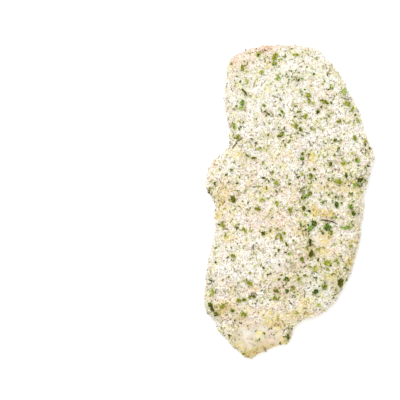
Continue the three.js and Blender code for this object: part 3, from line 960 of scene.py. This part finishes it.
def small_flakes():
    """Places and lengths of the small fused flakes, by the same spiral as the solid's source."""
    golden = math.pi * (3 - math.sqrt(5))
    places = []
    for i in range(SMALL_FLAKES):
        turn = i * golden + draw(i, 2)
        out = LENGTH / MM / 2 * math.sqrt((i + 0.5) / (2 * SMALL_FLAKES))
        length = blend(*SMALL_FLAKE, draw(i, 3))
        x, y = out * math.cos(turn), out * math.sin(turn)
        places.append((x, y, length, SMALL_WIDTH * length, 360 * draw(i, 4)))
    return places


def surface_of(mesh):
    return BVHTree.FromPolygons([v.co for v in mesh.vertices], [p.vertices for p in mesh.polygons])


def lie_on(surface, x, y):
    """The point and normal of the upper side at a place in mm, or nothing off it or on its steep rim."""
    high = Vector((x * MM, y * MM, 2 * cad_box[1].z))
    point, normal, _, _ = surface.ray_cast(high, Vector((0, 0, -1)))
    return (point, normal) if point and normal.z > STEEPEST else None


def join_bits(name, bits, material):
    """One piece from many bits, each with its own tint."""
    points, faces, tints = [], [], []
    for bit_points, bit_faces, tint in bits:
        add_part(points, faces, bit_points, bit_faces)
        tints += [tint] * len(bit_points)
    mesh = new_mesh(name, points, faces)
    store(mesh, "tint", tints)
    store(mesh, "fresh", patches(np.array(points), FRESH_SPOTS))
    mesh.materials.append(material)
    return new_object(name, mesh)


def fused_leaf(length, width, item):
    """The outline of a fused flake's polygon, with more corners between its own."""
    own = []
    for k in range(FLAKE_CORNERS):
        turn = math.tau * (k + 0.5 * draw(item, 10 + k)) / FLAKE_CORNERS
        out = blend(0.85, 1.2, draw(item, 20 + k))
        own.append(Vector((out * math.cos(turn), out * width / length * math.sin(turn))))
    rim = []
    for k, corner in enumerate(own):
        rim.append(corner)
        after = own[(k + 1) % FLAKE_CORNERS]
        for n, share in enumerate((0.3, 0.65)):
            rim.append(corner.lerp(after, share) * blend(0.65, 1.1, draw(item * 7 + k, 71 + n)))
    outline = [(p.length, math.atan2(p.y, p.x)) for p in rim]
    return leaf_bit(item, length * MM, thickness=LEAF_THICKNESS / (length * MM), outline=outline)


def make_fused_flakes(surface, material):
    bits = []
    flakes = [(tone, flake) for tone, flakes in LARGE_FLAKES.items() for flake in flakes]
    flakes += [("small", flake) for flake in small_flakes()]
    for item, (tone, (x, y, length, width, degrees)) in enumerate(flakes):
        found = lie_on(surface, x, y)
        if not found:
            continue
        point, normal = found
        flat_turn = Euler((0, 0, math.radians(degrees))).to_quaternion()
        turn = Vector((0, 0, 1)).rotation_difference(normal) @ flat_turn
        points, faces = fused_leaf(length, width, item)
        centre = point + normal * FLAKE_LIFT
        bits.append(([centre + turn @ p for p in points], faces, blend(*FLAKE_TONES[tone], draw(item, 8))))
    return join_bits("parsley_flakes", bits, material)


def make_stalks(surface, material):
    """Short bent stalks, lying on the coat."""
    bits = []
    rings, sides = 7, 6
    for item, (x, y, length, degrees, bow, tone) in enumerate(STALKS):
        along = Vector((math.cos(math.radians(degrees)), math.sin(math.radians(degrees))))
        across = Vector((-along.y, along.x))
        radius = blend(*STALK_RADIUS, draw(item, 82))
        points, faces = [], []
        for r in range(rings):
            share = r / (rings - 1)
            spot = Vector((x, y)) + along * length * (share - 0.5)
            spot += across * bow * length * (1 - (2 * share - 1) ** 2)
            found = lie_on(surface, *spot)
            if not found:
                break
            centre = found[0] + found[1] * STALK_LIFT
            thick = radius * (0.55 if r in (0, rings - 1) else 1)
            for s in range(sides):
                t = math.tau * s / sides
                off = Vector((*across, 0)) * math.cos(t) + Vector((0, 0, 1)) * math.sin(t)
                points.append(centre + thick * off)
        if len(points) < rings * sides:
            continue
        for r in range(rings - 1):
            for s in range(sides):
                a, b = r * sides + s, r * sides + (s + 1) % sides
                faces += [(a, a + sides, b), (b, a + sides, b + sides)]
        faces += [tuple(range(sides)), tuple(reversed(range((rings - 1) * sides, rings * sides)))]
        bits.append((points, faces, tone))
    return join_bits("parsley_stalks", bits, material)


# The object.

bed = make_bed()
paint(bed.data)
bed.data.materials.append(coat_material())
surface, outer = surface_of(bed.data), surface_of(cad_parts["schnitzel"].data)

white = crumb_material("white_crumb", (0.99, 0.965, 0.93), 0.35, 0.35)
fine = crumb_material("fine_crumb", (0.985, 0.955, 0.91), 0.35, 0.58)
pale = crumb_material("pale_crumb", (0.985, 0.935, 0.85), 0.35, 0.45)
yellow = crumb_material("yellow_crumb", (0.90, 0.82, 0.46), 0.6, 0.3)
golden = crumb_material("golden_crumb", (0.54, 0.34, 0.10), 0.9, 0.8, toasted=True)
# Tones of parsley, from the first to the last.
GREENS = [
    (0.045, 0.04, 0.003), (0.105, 0.105, 0.008), (0.18, 0.19, 0.017), (0.28, 0.30, 0.04), (0.46, 0.48, 0.12),
]
FRESH = [
    (0.03, 0.05, 0.010), (0.07, 0.12, 0.018), (0.15, 0.25, 0.035), (0.28, 0.42, 0.08), (0.46, 0.58, 0.20),
]
OLIVES = [(0.035, 0.030, 0.005), (0.06, 0.058, 0.008), (0.11, 0.115, 0.018), (0.24, 0.25, 0.06)]
DUSTS = [(0.03, 0.028, 0.006), (0.06, 0.056, 0.015), (0.15, 0.14, 0.045)]
STEMS = [(0.035, 0.024, 0.012), (0.16, 0.14, 0.04), (0.50, 0.46, 0.16)]
green = leaf_material("parsley_leaf", GREENS, FRESH)
olive = leaf_material("parsley_speck", OLIVES)
dust = leaf_material("parsley_dust", DUSTS)
stalk = leaf_material("parsley_stalk", STEMS)

broken, grains = shape_set("broken_crumbs", 12, coarse_crumb), shape_set("grains", 12, fine_crumb)
clumps, leaves = shape_set("clumps", 8, clump), shape_set("leaf_bits", 14, leaf_bit)
torn, specks = shape_set("torn_leaves", 10, torn_leaf), shape_set("specks", 14, speck)
strewn = scatter_tree()

# Each kind of strewn bit: shapes, where, spacing, density a square metre, patches (size, bareness and
# seed), sizes, tilt, lift and material.
PARSLEY = {
    "parsley_shreds": (torn, "upper", 2.40, 6.0e4, (4.5, 0.9, 11), (2.0, 4.2), 0.25, 0.50, green),
    "parsley_bits": (leaves, "parsley", 0.70, 1.2e6, (5.0, 1.0, 7), (0.9, 2.8), 0.45, 0.60, green),
    "parsley_specks": (specks, "hollows", 0.70, 2.4e6, (4.5, 0.85, 8), (1.0, 2.2), 0.6, 0.60, olive),
    "parsley_dust": (grains, "hollows", 0.50, 4.4e6, (2.6, 0.85, 9), (0.5, 0.9), 3.1, 0.50, dust),
}
CRUMBS = {
    "fine_crumbs": (grains, "crumbs", 0.61, 4.0e6, (2.2, 0.3, 1), (0.45, 0.95), 3.1, 0.10, fine),
    "white_crumbs": (grains, "tops", 0.65, 3.4e6, (3.2, 0.3, 2), (0.6, 1.2), 3.1, 0.30, white),
    "pale_crumbs": (grains, "tops", 0.85, 2.0e6, (2.6, 0.6, 3), (0.7, 1.4), 3.1, 0.30, pale),
    "large_crumbs": (broken, "tops", 1.60, 2.6e5, (4.0, 0.7, 5), (1.1, 2.1), 3.1, 0.25, white),
    "yellow_crumbs": (broken, "crumbs", 1.60, 3.5e5, (5.0, 0.9, 4), (0.7, 1.5), 3.1, 0.30, yellow),
    "crumb_clumps": (clumps, "tops", 2.40, 1.3e5, (4.0, 0.8, 5), (1.6, 2.7), 0.5, 0.20, white),
    "golden_crumbs": (broken, "browned", 0.85, 1.5e6, (3.0, 0.5, 6), (0.7, 1.7), 3.1, 0.60, golden),
}


def strew(kinds, first_seed):
    made = []
    for number, (name, kind) in enumerate(kinds.items()):
        shapes, where, spacing, density, (patch, bareness, seed), sizes, tilt, lift, material = kind
        piece = strewn.on(name, bed.data, {
            "Shapes": shapes, "Where": where, "Spacing": spacing * MM, "Density": density,
            "Patch Size": patch * MM, "Bareness": bareness, "Patch Seed": float(seed),
            "Smallest": sizes[0] * MM, "Largest": sizes[1] * MM, "Tilt": tilt, "Lift": lift * MM,
            "Seed": 10 * number + first_seed, "Material": material,
        })
        piece.data.materials.append(material)
        made.append(piece)
    return made


parsley = strew(PARSLEY, 71)
flakes = make_fused_flakes(outer, green)
paint_juice(bed.data, [*parsley[:2], flakes])
pieces = [bed, *strew(CRUMBS, 1), *parsley, flakes, make_stalks(surface, stalk)]

for piece in pieces:
    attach(piece, "root")
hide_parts("schnitzel")

# The studio.

def make_floor():
    material, graph, shader = new_material("white_paper", Specular_IOR_Level=0.2)
    feed(graph, shader, Base_Color=graph.mix(noise(graph, 3, 3), (0.93, 0.93, 0.93), (0.96, 0.96, 0.96)))
    reach = 3.0
    corners = [(x * reach, y * reach, 0) for x, y in ((-1, -1), (1, -1), (1, 1), (-1, 1))]
    mesh = new_mesh("floor", corners, [(0, 1, 2, 3)])
    mesh.materials.append(material)
    new_object("floor", mesh)


def make_light(name, place, size, watts):
    """A soft square light that faces the schnitzel."""
    lamp = bpy.data.lights.new(name, "AREA")
    lamp.size, lamp.energy = size, watts
    light = new_object(name, lamp)
    light.location = place
    light.rotation_euler = (-Vector(place)).to_track_quat("-Z", "Y").to_euler()


def make_camera():
    """Straight over the photograph's middle, so that the schnitzel lies where it does in it."""
    camera = new_object("camera", bpy.data.cameras.new("camera"))
    camera.data.lens = 180
    height = PHOTO_SIDE_PX * PIXEL * camera.data.lens / camera.data.sensor_width
    middle, rim_height = PHOTO_SIDE_PX / 2, 4 * MM
    x, y = (middle - MIDDLE_PX[0]) * PIXEL, (MIDDLE_PX[1] - middle) * PIXEL
    camera.location = (x, y, height + rim_height)
    bpy.context.scene.camera = camera


make_floor()
make_light("window_light", place=(-0.35, 0.65, 0.95), size=0.5, watts=5.5)
make_light("overhead_light", place=(0.0, 0.0, 1.4), size=1.2, watts=6)
make_camera()
world = bpy.data.worlds.new("studio")
world.use_nodes = True
world.node_tree.nodes["Background"].inputs["Color"].default_value = (1, 1, 1, 1)
world.node_tree.nodes["Background"].inputs["Strength"].default_value = 0.94
bpy.context.scene.world = world
bpy.context.scene.view_settings.view_transform = "Standard"
